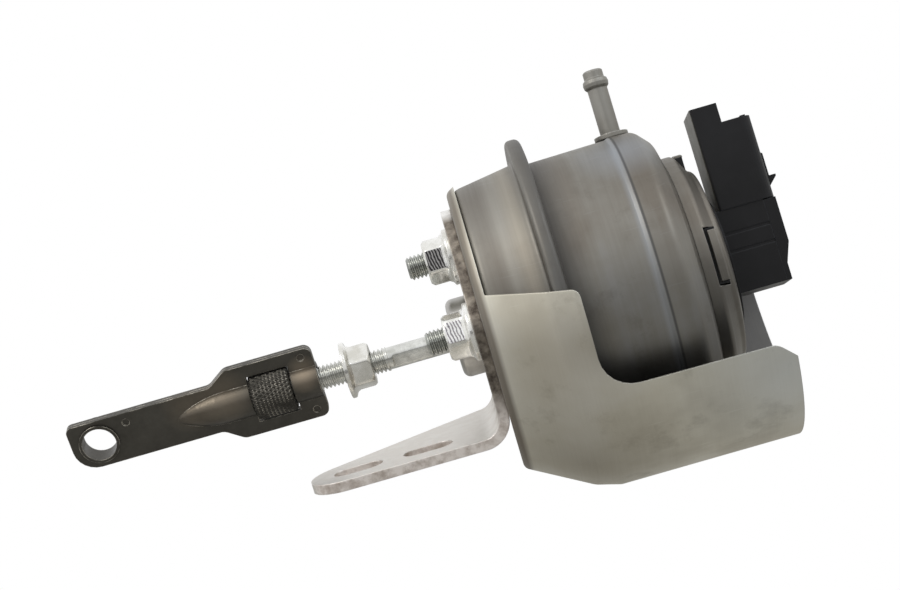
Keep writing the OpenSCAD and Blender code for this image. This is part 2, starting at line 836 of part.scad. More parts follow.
module terminal(i) {
    color(terminal_tin) on_canister() terminal_blade(i, 0);
}

module terminal_1() {
    terminal(0);
}

module terminal_2() {
    terminal(1);
}

module terminal_3() {
    terminal(2);
}

// The rod: thread, spanner flats, smooth neck, collar and peened end
module rod() {
    r = thread_d / 2;
    neck_r = neck_d / 2;
    chamfer = 0.7;
    flat_depth = neck_r - flats_af / 2;
    color(zinc) difference() {
        turned([
            [0, rod_front_x], [r - chamfer, rod_front_x], [r, rod_front_x + chamfer],
            [r, thread_end_x - 0.4], [neck_r, thread_end_x], [neck_r, guide_back_x - 0.3],
            [peen_r, guide_back_x - 0.3], [peen_r, retainer_x], [spigot_r, retainer_x],
            [spigot_r, piston_x + piston_t], [peen_r, piston_x + piston_t],
            [peen_r - 0.8, rod_back_x], [0, rod_back_x]
        ]);
        for (side = [0, 180])
            on_link() rotate([side, 0, 0]) translate([flats_x[0], neck_r - flat_depth, -neck_r])
                cube([flats_x[1] - flats_x[0], flat_depth + 1, 2 * neck_r]);
    }
}

// The plate in front of the diaphragm
module retainer() {
    color(bare_steel) difference() {
        axis_bar(retainer_r, retainer_x, diaphragm_x);
        axis_bar(spigot_r + running_gap, retainer_x - 1, diaphragm_x + 1);
    }
}

// The drawn cup behind the diaphragm, which the spring pushes
module piston_cup() {
    color(bare_steel) turned(sheet(round_path([
        [spigot_r + running_gap, piston_x], [piston_r, piston_x, piston_corner],
        [piston_r, piston_x + skirt_length]
    ]), piston_t));
}

module lock_nut() {
    color(zinc) at_plate() translate([lock_nut_x, 0, 0]) rotate([0, 90, 0]) flange_nut(8);
}

// The slider that carries the rod's place to the sensor
module sensor_plunger() {
    front = rod_back_x + seat_gap;
    foot_r = 7;
    foot_t = 1.5;
    color(natural_plastic) union() {
        axis_bar(foot_r, front, front + foot_t);
        axis_bar(plunger_r, front + foot_t, plunger_end_x);
    }
}

// The light spring that keeps the plunger on the rod
module plunger_spring() {
    from = plunger_end_x + seat_gap;
    color(bare_steel) on_axis() translate([0, 0, from])
        coil_spring(2.9, plunger_wire_d, plunger_bore_x - seat_gap - from, plunger_turns, 12, 6);
}

// Side view of the end link's plates, as [station, height]
function link_outline() = round_outline([
    [link_tip_x, arm_half, 1.6], [link_tip_x, -arm_half, 5.6], [arm_end_x, -arm_half, 3],
    [wide_start_x, -wide_half, 3], [link_end_x, -wide_half, 2], [link_end_x, wide_half, 2],
    [wide_start_x, wide_half, 3], [arm_end_x, arm_half, 3]
]);

// A turned piece that turns with the link, its seam on the side away from the given plate
module link_turned(outline, side) {
    on_link() rotate([-90 * side, 0, 0]) rotate([0, 90, 0]) rotate_extrude() polygon(outline);
}

// Outline of the bulge over the rod, its tip drawn as a parabola
function bulge_outline() =
    let (steps = 6)
    let (length = bulge_full_x - bulge_tip_x)
    concat(
        [for (k = [steps : -1 : 0])
            let (t = k / steps)
            [bulge_r * (1 - t * t), bulge_full_x - length * t]],
        [[bulge_r, link_end_x], [0, link_end_x]]
    );

// One pressed plate with its half of the rod tunnel; side is -1 for the near plate, 1 for the far one
module link_plate(side) {
    reach = 2 * bulge_r;
    window_half = adjuster_d / 2 + window_gap;
    window_length = adjuster_length + 2 * window_gap;
    color(dark_steel) difference() {
        union() {
            on_link() rotate([90, 0, 0]) translate([0, 0, side > 0 ? -plate_t : 0])
                linear_extrude(plate_t) polygon(link_outline());
            intersection() {
                link_turned(bulge_outline(), side);
                on_link() translate([bulge_tip_x, side > 0 ? 0 : -reach, -reach])
                    cube([link_end_x - bulge_tip_x, reach, 2 * reach]);
            }
        }
        link_turned([
            [0, tunnel_x], [tunnel_tip_r, tunnel_x], [rod_hole_r, bulge_full_x],
            [rod_hole_r, link_end_x + 1], [0, link_end_x + 1]
        ], side);
        on_link() translate([adjuster_x - window_length / 2, -reach, -window_half])
            cube([window_length, 2 * reach, 2 * window_half]);
        on_link() translate([eye_x, 0, 0]) rotate([90, 0, 0])
            cylinder(h = 2 * reach, r = eye_d / 2 - eye_lip + running_gap, center = true);
        for (dimple = dimple_places)
            on_link() translate([dimple.x, side * plate_t, dimple.y]) rotate([-90, 0, 0])
                cylinder(h = dimple_r, r = dimple_r, center = true);
    }
}

module link_near_plate() {
    link_plate(-1);
}

module link_far_plate() {
    link_plate(1);
}

// The eye's collar, rolled over the near plate and standing out behind the far one
module eye_bush() {
    inner = eye_bore / 2;
    body_r = eye_d / 2 - eye_lip;
    lip_t = 0.5;
    color(dark_steel) on_link() translate([eye_x, 0, 0]) rotate([-90, 0, 0]) rotate_extrude() polygon([
        [inner, -plate_t - lip_t], [eye_d / 2, -plate_t - lip_t], [eye_d / 2, -plate_t],
        [body_r, -plate_t], [body_r, plate_t], [eye_d / 2, plate_t],
        [eye_d / 2, eye_length - plate_t - lip_t], [inner, eye_length - plate_t - lip_t]
    ]);
}

// The knurled nut that is trapped in the link's window and moves the link along the rod
module adjusting_nut() {
    r = adjuster_d / 2;
    half = adjuster_length / 2;
    edge = 0.6;
    bore = thread_d / 2 + running_gap;
    color(dark_steel) turned([
        [bore, adjuster_x - half], [r - edge, adjuster_x - half], [r, adjuster_x - half + edge],
        [r, adjuster_x + half - edge], [r - edge, adjuster_x + half], [bore, adjuster_x + half]
    ]);
}

bracket();
heat_shield();
stud_top();
stud_near();
stud_far();
nut_top();
nut_near();
nut_far();
front_can();
rear_can();
rod_guide();
guide_bush();
rod_seal();
diaphragm();
return_spring();
spring_seat();
nipple();
sensor_cap();
sensor_seal();
sensor_body();
sensor_cover();
terminal_1();
terminal_2();
terminal_3();
rod();
retainer();
piston_cup();
lock_nut();
sensor_plunger();
plunger_spring();
link_near_plate();
link_far_plate();
eye_bush();
adjusting_nut();
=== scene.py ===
# Looks of the vacuum wastegate actuator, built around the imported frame.
# The frame, the materials and the stage are in metres. Places about the rod axis and the sizes of
# the pieces made here are in millimetres, as in the part's source, and at_axis makes them metres.
# Stations are counted along the rod axis from the front face of the bracket's plate.
import json
import math

import bmesh
import bpy
from mathutils import Matrix, Vector


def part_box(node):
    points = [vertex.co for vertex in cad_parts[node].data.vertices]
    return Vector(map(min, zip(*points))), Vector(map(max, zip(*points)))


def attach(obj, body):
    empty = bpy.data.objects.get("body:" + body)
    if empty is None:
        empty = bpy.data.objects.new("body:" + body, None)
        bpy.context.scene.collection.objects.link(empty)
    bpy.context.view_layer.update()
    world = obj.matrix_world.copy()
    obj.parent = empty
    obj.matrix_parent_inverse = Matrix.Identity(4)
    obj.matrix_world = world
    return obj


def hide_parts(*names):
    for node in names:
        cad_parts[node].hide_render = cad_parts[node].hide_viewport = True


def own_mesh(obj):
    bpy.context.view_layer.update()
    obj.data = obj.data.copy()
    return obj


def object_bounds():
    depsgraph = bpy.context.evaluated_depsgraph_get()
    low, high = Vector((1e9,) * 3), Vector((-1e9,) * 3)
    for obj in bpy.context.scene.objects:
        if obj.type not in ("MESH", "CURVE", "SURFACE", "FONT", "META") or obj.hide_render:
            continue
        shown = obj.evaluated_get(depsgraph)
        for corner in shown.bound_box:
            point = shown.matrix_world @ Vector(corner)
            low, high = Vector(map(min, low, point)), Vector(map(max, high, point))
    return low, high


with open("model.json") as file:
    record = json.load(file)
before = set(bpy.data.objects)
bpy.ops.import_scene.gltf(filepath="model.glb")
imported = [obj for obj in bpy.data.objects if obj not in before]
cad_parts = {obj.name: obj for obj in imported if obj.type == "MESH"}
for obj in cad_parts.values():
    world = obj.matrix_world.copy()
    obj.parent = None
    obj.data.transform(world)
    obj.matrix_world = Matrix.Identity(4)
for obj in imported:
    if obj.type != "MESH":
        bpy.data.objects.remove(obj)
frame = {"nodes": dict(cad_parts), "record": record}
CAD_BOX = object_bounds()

MM = 0.001
NODES = frame["nodes"]


# The rod axis and the plate's front face, from the frame

ROD_LOW, ROD_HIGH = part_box("rod")
AXIS_Y = (ROD_LOW.y + ROD_HIGH.y) / 2
AXIS_Z = (ROD_LOW.z + ROD_HIGH.z) / 2
PLATE_T = 2.5 * MM
PLATE_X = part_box("bracket")[1].x - PLATE_T
LINK_ROLL = math.radians(15)
CANISTER_TURN = math.radians(-13)


def at_axis(x_mm, across_mm=0.0, up_mm=0.0, roll=0.0):
    """Point at a station, with its place across and above the rod axis turned by roll."""
    y_mm = across_mm * math.cos(roll) - up_mm * math.sin(roll)
    z_mm = across_mm * math.sin(roll) + up_mm * math.cos(roll)
    return Vector((PLATE_X + x_mm * MM, AXIS_Y + y_mm * MM, AXIS_Z + z_mm * MM))


def add_object(name, data):
    thing = bpy.data.objects.new(name, data)
    bpy.context.scene.collection.objects.link(thing)
    return thing


# Camera

CAMERA_AT = at_axis(3.7, -462, 72)
CAMERA_AIM = at_axis(-3.3, 0, 10.9)
CAMERA_ROLL = math.radians(-16.2)
CAMERA_LENS = 76.4
CAMERA_CLIP = (0.01, 20)


def make_camera():
    data = bpy.data.cameras.new("camera")
    data.lens = CAMERA_LENS
    data.clip_start, data.clip_end = CAMERA_CLIP
    camera = add_object("camera", data)
    camera.location = CAMERA_AT
    ahead = (CAMERA_AIM - CAMERA_AT).normalized()
    roll = Matrix.Rotation(CAMERA_ROLL, 4, "Z").to_quaternion()
    camera.rotation_mode = "QUATERNION"
    camera.rotation_quaternion = ahead.to_track_quat("-Z", "Y") @ roll
    bpy.context.scene.camera = camera
    bpy.context.scene.view_settings.view_transform = "Standard"


# Materials. Noise is given by its scale, detail and roughness, and a bump by its depth in metres
# and its strength. The places that they work on are the frame's own, in metres.

EDGE_SAMPLES = 6
EDGE_FLAT = 0.985
EDGE_FULL = 0.90


def set_stops(ramp, stops):
    """Places and colours along a colour ramp."""
    elements = ramp.color_ramp.elements
    while len(elements) < len(stops):
        elements.new(0.5)
    for element, (at, colour) in zip(elements, stops):
        element.position = at
        element.color = (*colour, 1)


class Nodes:
    """A material's node tree, with short ways to add and join nodes."""

    def __init__(self, name):
        self.material = bpy.data.materials.new(name)
        self.material.use_nodes = True
        self.tree = self.material.node_tree
        self.bsdf = self.tree.nodes["Principled BSDF"]
        coordinates = self.add("TexCoord")
        self.place = coordinates.outputs["Object"]
        self.normal = coordinates.outputs["Normal"]

    def add(self, kind):
        return self.tree.nodes.new("ShaderNode" + kind)

    def feed(self, value, socket):
        """Gives a socket a number, a colour or another node's output."""
        if isinstance(value, (int, float)):
            socket.default_value = value
        elif isinstance(value, tuple):
            socket.default_value = (*value, 1)
        else:
            self.tree.links.new(value, socket)

    def scaled(self, scale):
        node = self.add("Mapping")
        node.inputs["Scale"].default_value = scale
        self.feed(self.place, node.inputs["Vector"])
        return node.outputs["Vector"]

    def noise(self, scale, detail, roughness, where=None):
        node = self.add("TexNoise")
        self.feed(scale, node.inputs["Scale"])
        self.feed(detail, node.inputs["Detail"])
        self.feed(roughness, node.inputs["Roughness"])
        self.feed(where or self.place, node.inputs["Vector"])
        return node.outputs["Fac"]

    def ramp(self, fac, *stops):
        node = self.add("ValToRGB")
        set_stops(node, stops)
        self.feed(fac, node.inputs["Fac"])
        return node.outputs["Color"]

    def levels(self, fac, low, high, to_low=0.0, to_high=1.0):
        """The value from low to high, spread over to_low to to_high and held beyond them."""
        node = self.add("MapRange")
        self.feed(low, node.inputs["From Min"])
        self.feed(high, node.inputs["From Max"])
        self.feed(to_low, node.inputs["To Min"])
        self.feed(to_high, node.inputs["To Max"])
        self.feed(fac, node.inputs["Value"])
        return node.outputs["Result"]

    def mix(self, fac, a, b):
        """Colour a where the factor is 0, and b where it is 1."""
        node = self.add("Mix")
        node.data_type = "RGBA"
        for value, socket in ((fac, 0), (a, 6), (b, 7)):
            self.feed(value, node.inputs[socket])
        return node.outputs[2]

    def math(self, kind, a, b=0.5):
        node = self.add("Math")
        node.operation = kind
        self.feed(a, node.inputs[0])
        self.feed(b, node.inputs[1])
        return node.outputs[0]

    def split(self, vector):
        node = self.add("SeparateXYZ")
        self.feed(vector, node.inputs[0])
        return tuple(node.outputs)

    def distance(self, centre):
        node = self.add("VectorMath")
        node.operation = "DISTANCE"
        self.feed(self.place, node.inputs[0])
        node.inputs[1].default_value = centre
        return node.outputs["Value"]

    def tinted(self, colour, tints):
        """The colour with patches of painted shade and painted highlight about points, each with its
        reach, strength and colour.
        """
        for centre, reach, strength, patch_colour in tints:
            near = self.levels(self.distance(centre), 0.0, reach, strength, 0.0)
            colour = self.mix(near, colour, patch_colour)
        return colour

    def bump(self, height, depth, strength, under=None):
        node = self.add("Bump")
        self.feed(depth, node.inputs["Distance"])
        self.feed(strength, node.inputs["Strength"])
        self.feed(height, node.inputs["Height"])
        if under is not None:
            self.feed(under, node.inputs["Normal"])
        return node.outputs["Normal"]

    def edges(self, radius, strength=1.0):
        """A mask of the sharp edges, and the normal rounded over the radius."""
        bevel = self.add("Bevel")
        bevel.samples = EDGE_SAMPLES
        self.feed(radius, bevel.inputs["Radius"])
        dot = self.add("VectorMath")
        dot.operation = "DOT_PRODUCT"
        self.feed(bevel.outputs["Normal"], dot.inputs[0])
        self.feed(self.add("NewGeometry").outputs["Normal"], dot.inputs[1])
        mask = self.levels(dot.outputs["Value"], EDGE_FLAT, EDGE_FULL, 0.0, strength)
        return mask, bevel.outputs["Normal"]

    def finish(self, colour, roughness, metallic, normal):
        self.feed(colour, self.bsdf.inputs["Base Color"])
        self.feed(roughness, self.bsdf.inputs["Roughness"])
        self.feed(metallic, self.bsdf.inputs["Metallic"])
        self.feed(normal, self.bsdf.inputs["Normal"])
        return self.material


# Pale colour of the painted highlights on sharp edges of drawn steel
EDGE_HIGHLIGHT_STEEL = (0.50, 0.50, 0.48)
# Near-black painted shade for faces that look towards the rod axis, and the depths over which it
# comes in
INSIDE_SHADE = (0.10, 0.10, 0.105)
INSIDE_SHADE_DEPTH = (0.001, 0.012)


def drawn_steel(name, tones, rings, marks, colour_rings=(), shade_inside=0.0, tints=()):
    """Satin sheet steel, clouded, with faint rings of drawing marks about the rod axis.

    The tones are brown, middle and light. Rings is how closely the marks lie along the axis, and
    marks how much they show. A colour ring is a ring of another colour: its X, half width and
    fall-off in metres, its strength and its colour; several are painted shade and painted highlight
    lines. Tints are patches about points, of painted shade and painted highlight: each with its
    centre, reach, strength and colour. The faces that look towards the axis may be darkened with
    painted shade.
    """
    n = Nodes(name)
    x, y, _ = n.split(n.place)
    brown, middle, light = tones
    ring_marks = n.noise(1.0, 3, 0.55, n.scaled((rings, 6, 6)))
    bands = n.math("MULTIPLY", n.math("SUBTRACT", ring_marks, 0.5), marks)
    cloud = n.noise(30, 5, 0.55)
    tone = n.levels(n.math("ADD", cloud, bands), 0.30, 0.70)
    colour = n.ramp(tone, (0.0, brown), (0.5, middle), (1.0, light))
    stains = n.levels(n.noise(75, 6, 0.7), 0.56, 0.70, 0.0, 0.5)
    colour = n.mix(stains, colour, tuple(0.8 * part for part in brown))
    scratches = n.noise(1.0, 2, 0.5, n.scaled((90, 90, 2400)))
    colour = n.mix(n.levels(scratches, 0.66, 0.72, 0.0, 0.25), colour, light)
    # Tints: patches of painted shade and painted highlight about points
    colour = n.tinted(colour, tints)
    # Colour rings about the axis; several are painted shade and painted highlight lines
    for station, half, fall, strength, ring_colour in colour_rings:
        away = n.math("ABSOLUTE", n.math("SUBTRACT", x, station))
        colour = n.mix(n.levels(away, half, half + fall, strength, 0.0), colour, ring_colour)
    # Painted shade: faces that look towards the rod axis are darkened towards near black
    if shade_inside:
        near, full = INSIDE_SHADE_DEPTH
        inward = n.math("MULTIPLY", n.math("SUBTRACT", y, AXIS_Y), n.split(n.normal)[1])
        colour = n.mix(n.levels(inward, -near, -full, 0.0, shade_inside), colour, INSIDE_SHADE)
    # Painted highlight: sharp edges turn pale, and the normal is rounded over them
    edge, rounded = n.edges(0.00035, 0.35)
    colour = n.mix(edge, colour, EDGE_HIGHLIGHT_STEEL)
    fine = n.noise(1.0, 2, 0.5, n.scaled((2600, 60, 60)))
    rough = n.levels(n.math("ADD", fine, cloud), 0.6, 1.4, 0.44, 0.58)
    waves = n.bump(n.noise(55, 2, 0.4), 0.00012, 0.5, rounded)
    lines = n.bump(fine, 0.000010, 0.6, waves)
    return n.finish(colour, rough, 1.0, lines)


WORN_ZINC = (0.86, 0.85, 0.82)


def zinc_plate(name, light, patch_colour):
    """Bright zinc with grey clouding and worn edges."""
    n = Nodes(name)
    cloud = n.noise(180, 6, 0.65)
    blotch = n.noise(60, 4, 0.6)
    both = n.math("ADD", n.math("MULTIPLY", cloud, 0.6), n.math("MULTIPLY", blotch, 0.4))
    edge, rounded = n.edges(0.00045, 0.4)
    colour = n.mix(edge, n.ramp(both, (0.38, patch_colour), (0.62, light)), WORN_ZINC)
    rough = n.levels(cloud, 0.3, 0.7, 0.26, 0.12)
    dents = n.bump(n.noise(700, 3, 0.6), 0.00006, 0.7, rounded)
    return n.finish(colour, rough, 0.93, dents)


BEND_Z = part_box("bracket")[0].z + 9 * MM
BEND_STAIN = (0.34, 0.29, 0.225)
BRACKET_FACE = ((0.66, 0.64, 0.60), (0.93, 0.92, 0.90))
BRACKET_EDGE = (0.84, 0.82, 0.79)
DARK_CUT = ((0.085, 0.070, 0.058), (0.36, 0.32, 0.27))
PALE_CUT = ((0.55, 0.48, 0.43), (0.95, 0.89, 0.85))


def bracket_zinc():
    """Pale faces that are stained at the bend, and speckled cut edges, dark above the bend."""
    n = Nodes("bracket_zinc")
    z = n.split(n.place)[2]
    cloud = n.noise(170, 6, 0.7)
    spots = n.noise(420, 3, 0.6)
    face = n.ramp(cloud, (0.30, BRACKET_FACE[0]), (0.55, BRACKET_FACE[1]))
    from_bend = n.math("ABSOLUTE", n.math("SUBTRACT", z, BEND_Z))
    near_bend = n.levels(from_bend, 2 * MM, 12 * MM, 0.9, 0.0)
    stained = n.math("MULTIPLY", near_bend, n.levels(cloud, 0.34, 0.54))
    face = n.mix(stained, face, BEND_STAIN)
    speckle = n.math("ADD", n.math("MULTIPLY", spots, 0.5), n.math("MULTIPLY", cloud, 0.5))
    dark_cut = n.ramp(speckle, (0.42, DARK_CUT[0]), (0.62, DARK_CUT[1]))
    pale_cut = n.ramp(speckle, (0.38, PALE_CUT[0]), (0.56, PALE_CUT[1]))
    cut = n.mix(n.levels(z, BEND_Z - 4 * MM, BEND_Z + 4 * MM), pale_cut, dark_cut)
    across = n.math("ABSOLUTE", n.split(n.normal)[1])
    colour = n.mix(n.levels(across, 0.32, 0.60), face, cut)
    edge, rounded = n.edges(0.0005, 0.45)
    colour = n.mix(edge, colour, BRACKET_EDGE)
    rough = n.levels(cloud, 0.3, 0.7, 0.48, 0.30)
    dents = n.bump(spots, 0.00006, 0.7, rounded)
    return n.finish(colour, rough, 0.88, dents)


HATCH_ALONG = 8500
HATCH_UP = 1500
HATCH_WAVES = 9.0
HATCH_BREAKS = 2.0
HATCH_SOFT = 0.8


def marked_zinc(name, dark, light, share):
    """A nut's face with slanting hatch marks; a larger share has more of it dark."""
    n = Nodes(name)
    x, _, z = n.split(n.place)
    slant = n.math("ADD", n.math("MULTIPLY", x, HATCH_ALONG), n.math("MULTIPLY", z, HATCH_UP))
    waves = n.math("MULTIPLY", n.noise(500, 3, 0.6), HATCH_WAVES)
    breaks = n.math("MULTIPLY", n.noise(1500, 3, 0.7), HATCH_BREAKS)
    lines = n.math("ADD", n.math("SINE", n.math("ADD", slant, waves)), breaks)
    mark = n.levels(lines, share, share + HATCH_SOFT)
    return n.finish(n.mix(mark, dark, light), 0.45, 0.8, n.bump(mark, 0.00005, 0.8))


OILED_TONES = ((0.075, 0.070, 0.060), (0.125, 0.118, 0.102))
OILED_WORN = (0.62, 0.58, 0.50)


def dark_steel(name, lift, tints=()):
    """Phosphated and oiled steel, worn bright on its outer edges, with painted brownish highlights
    where it is given tints.
    """
    n = Nodes(name)
    cloud = n.noise(110, 6, 0.7)
    fine = n.noise(1500, 4, 0.6)
    low, high = [tuple(part * lift for part in tone) for tone in OILED_TONES]
    colour = n.tinted(n.ramp(cloud, (0.30, low), (0.70, high)), tints)
    edge, rounded = n.edges(0.0003)
    worn = n.math("MULTIPLY", edge, n.levels(n.noise(260, 5, 0.7), 0.42, 0.58))
    colour = n.mix(worn, colour, OILED_WORN)
    rough = n.levels(n.math("ADD", cloud, fine), 0.7, 1.3, 0.30, 0.48)
    grain = n.bump(fine, 0.00002, 0.6, rounded)
    return n.finish(colour, rough, 0.85, grain)


PLASTIC_TONES = ((0.0060, 0.0060, 0.0068), (0.0105, 0.0105, 0.0120))
# Lit grey painted on the faces that look towards the bracket, as painted light
PLASTIC_LIT_FRONT = (0.15, 0.146, 0.125)
# Bluish grey painted on the edges, as a painted sheen
PLASTIC_EDGE_SHEEN = (0.050, 0.054, 0.064)
PLASTIC_SHINE = 0.25


def black_plastic():
    """Moulded black plastic with a fine spark-eroded grain, with painted light on the faces that
    look towards the bracket and a painted bluish sheen on its edges.
    """
    n = Nodes("black_plastic")
    cloud = n.noise(90, 4, 0.6)
    colour = n.ramp(cloud, (0.3, PLASTIC_TONES[0]), (0.7, PLASTIC_TONES[1]))
    forward = n.math("MULTIPLY", n.split(n.normal)[0], -1.0)
    # Painted light: faces that look towards the bracket turn a lit grey
    colour = n.mix(n.levels(forward, 0.75, 0.95, 0.0, 0.8), colour, PLASTIC_LIT_FRONT)
    # Painted sheen: sharp edges turn a bluish grey
    edge, rounded = n.edges(0.0003, 0.3)
    colour = n.mix(edge, colour, PLASTIC_EDGE_SHEEN)
    rough = n.levels(n.noise(240, 4, 0.6), 0.3, 0.7, 0.36, 0.48)
    n.feed(PLASTIC_SHINE, n.bsdf.inputs["Specular IOR Level"])
    grain = n.bump(n.noise(5200, 2, 0.5), 0.000012, 0.5, rounded)
    return n.finish(colour, rough, 0.0, grain)


BARE_TONES = ((0.36, 0.35, 0.33), (0.52, 0.51, 0.49))


def plain_steel():
    """Bare steel of the pieces inside the can."""
    n = Nodes("plain_steel")
    cloud = n.noise(200, 5, 0.6)
    colour = n.ramp(cloud, (0.3, BARE_TONES[0]), (0.7, BARE_TONES[1]))
    rough = n.levels(cloud, 0.3, 0.7, 0.30, 0.44)
    return n.finish(colour, rough, 1.0, n.bump(n.noise(1400, 3, 0.5), 0.00001, 0.6))


def soft_matte(name, dark, light, roughness):
    """Clouded matte surface without metal."""
    n = Nodes(name)
    cloud = n.noise(300, 4, 0.6)
    colour = n.ramp(cloud, (0.3, dark), (0.7, light))
    grain = n.bump(n.noise(2600, 3, 0.6), 0.00002, 0.6)
    return n.finish(colour, roughness, 0.0, grain)


# What the materials are given: colour rings and tints as drawn_steel says, most of them painted
# shade and painted highlights, tones from dark to light

RING_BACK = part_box("front_can")[1].x
SHIELD_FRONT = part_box("heat_shield")[0].x
# Near-black of painted shade, and the bluish grey of painted highlights and sheen
SHADE_DARK = (0.045, 0.044, 0.046)
COOL_SHEEN = (0.40, 0.44, 0.50)
# Brownish colour of the link's painted highlights
BROWN_HIGHLIGHT = (0.30, 0.245, 0.18)
CAN_TONES = ((0.180, 0.163, 0.140), (0.236, 0.226, 0.203), (0.285, 0.285, 0.278))
# Rings on the can: a darker ring and two lighter rings on the front can, painted shade behind the
# crimp ring, and a painted bluish highlight line beside a thin painted shade line at the step near
# station 44
CAN_COLOUR_RINGS = (
    (at_axis(8.5).x, 0.0008, 0.0028, 0.35, (0.12, 0.105, 0.090)),
    (at_axis(13.0).x, 0.0004, 0.0020, 0.25, (0.38, 0.365, 0.325)),
    (RING_BACK - 0.0065, 0.0008, 0.0025, 0.38, (0.42, 0.38, 0.31)),
    (RING_BACK, 0.0006, 0.0062, 0.62, SHADE_DARK),
    (at_axis(43.3).x, 0.0002, 0.0012, 0.30, COOL_SHEEN),
    (at_axis(44.4).x, 0.00012, 0.00035, 0.65, SHADE_DARK),
)
# Painted light on the can: a painted highlight on its upper near side, painted shade low on its near
# side by the shield and the cap, and a bluish painted sheen on its upper shoulder
CAN_SHADE_AND_HIGHLIGHTS = (
    (at_axis(12, -22, 32), 0.024, 0.55, (0.40, 0.39, 0.36)),
    (at_axis(33, -36, -24), 0.020, 0.75, SHADE_DARK),
    (at_axis(50, -30, -24), 0.018, 0.70, SHADE_DARK),
    (at_axis(58, -27, -4), 0.016, 0.45, SHADE_DARK),
    (at_axis(45, -14, 37), 0.013, 0.50, COOL_SHEEN),
)
PIPE_TONES = ((0.22, 0.208, 0.185), (0.29, 0.28, 0.255), (0.37, 0.365, 0.345))
SHIELD_TONES = ((0.46, 0.43, 0.355), (0.65, 0.625, 0.54), (0.77, 0.76, 0.70))
# Painted shadow: a dark line along the shield's front edge, in the gap behind the bracket's plate
SHIELD_GAP_SHADE = ((SHIELD_FRONT, 0.0012, 0.0012, 0.82, (0.16, 0.135, 0.11)),)
# On the shield: painted shade at its lower front corner, a painted highlight near the front of its
# near wall, painted shade below that and along the fold, and a cooler grey towards the rear, low on
# the near side
SHIELD_SHADE_AND_HIGHLIGHTS = (
    (at_axis(16, -29, -34), 0.030, 0.75, (0.27, 0.24, 0.185)),
    (at_axis(10, -43, 9), 0.010, 0.30, (0.92, 0.86, 0.72)),
    (at_axis(15, -44, -4), 0.024, 0.62, (0.38, 0.34, 0.27)),
    (at_axis(27, -44, -3), 0.010, 0.50, (0.30, 0.27, 0.22)),
    (at_axis(66, -40, -20), 0.030, 0.60, (0.56, 0.59, 0.60)),
)
# Painted highlights: brownish light on the upper near side of the link
LINK_HIGHLIGHTS = (
    (at_axis(-63, -5, 4, LINK_ROLL), 0.008, 0.55, BROWN_HIGHLIGHT),
    (at_axis(-72, -4, 3, LINK_ROLL), 0.008, 0.40, BROWN_HIGHLIGHT),
    (at_axis(-43, -4, 4, LINK_ROLL), 0.005, 0.70, (0.42, 0.34, 0.25)),
)
MATERIALS = {
    # The shield's 0.9 is the strength of its painted shade on faces that look towards the axis
    "shield": drawn_steel("shield_steel", SHIELD_TONES, 60, 0.25, SHIELD_GAP_SHADE, 0.9, SHIELD_SHADE_AND_HIGHLIGHTS),
    "can": drawn_steel("can_steel", CAN_TONES, 190, 0.5, CAN_COLOUR_RINGS, 0.0, CAN_SHADE_AND_HIGHLIGHTS),
    "pipe": drawn_steel("pipe_steel", PIPE_TONES, 400, 0.5),
    "bracket": bracket_zinc(),
    "zinc": zinc_plate("zinc", (0.97, 0.97, 0.95), (0.66, 0.65, 0.60)),
    "rod": zinc_plate("zinc_rod", (0.82, 0.83, 0.80), (0.40, 0.40, 0.37)),
    "stud": zinc_plate("zinc_thread", (0.52, 0.54, 0.50), (0.26, 0.27, 0.25)),
    "marked": marked_zinc("marked_zinc", (0.045, 0.044, 0.046), (0.42, 0.41, 0.41), 0.9),
    "etched": marked_zinc("etched_zinc", (0.23, 0.215, 0.24), (0.92, 0.92, 0.92), 0.2),
    "dark": dark_steel("dark_steel", 0.72, LINK_HIGHLIGHTS),
    # The knurled nut: a darker copy of the link's steel, painted shade for the nut inside the link's
    # window
    "knurl": dark_steel("shaded_knurled_steel", 0.48),
    "plastic": black_plastic(),
    "steel": plain_steel(),
    "rubber": soft_matte("rubber", (0.012, 0.012, 0.012), (0.022, 0.022, 0.022), 0.6),
    "natural": soft_matte("natural_plastic", (0.50, 0.46, 0.38), (0.62, 0.58, 0.49), 0.45),
    "tin": soft_matte("terminal_tin", (0.50, 0.48, 0.42), (0.66, 0.62, 0.53), 0.35),
}
SLOT_LOOKS = {
    "zinc_steel": "zinc", "can_steel": "can", "shield_steel": "shield", "dark_steel": "dark",
    "bare_steel": "steel", "rubber": "rubber", "black_plastic": "plastic",
    "natural_plastic": "natural", "terminal_tin": "tin",
}
OWN_LOOKS = {"bracket": "bracket", "nipple": "pipe"}


def dress_nodes():
    """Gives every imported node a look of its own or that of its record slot."""
    for row in frame["record"]["subparts"]:
        look = OWN_LOOKS.get(row["node"], SLOT_LOOKS[row["material_slot"]])
        mesh = NODES[row["node"]].data
        mesh.materials.clear()
        mesh.materials.append(MATERIALS[look])


# Turned pieces: rows of points about an axis, each row a function of the angle from up towards far

CREASE = 0.02


def lofted(name, loops, look, ring=False):
    """Piece through loops of points, capped at its ends unless the last loop meets the first."""
    mesh = bpy.data.meshes.new(name)
    work = bmesh.new()
    loops = [[work.verts.new(point) for point in loop] for loop in loops]
    following = loops[1:] + loops[:1] if ring else loops[1:]
    for a, b in zip(loops, following):
        for k in range(len(a)):
            n = (k + 1) % len(a)
            work.faces.new((a[k], a[n], b[n], b[k]))
    if not ring:
        work.faces.new(loops[0])
        work.faces.new(loops[-1])
    bmesh.ops.recalc_face_normals(work, faces=work.faces)
    work.to_mesh(mesh)
    work.free()
    mesh.materials.append(MATERIALS[look])
    return add_object(name, mesh)


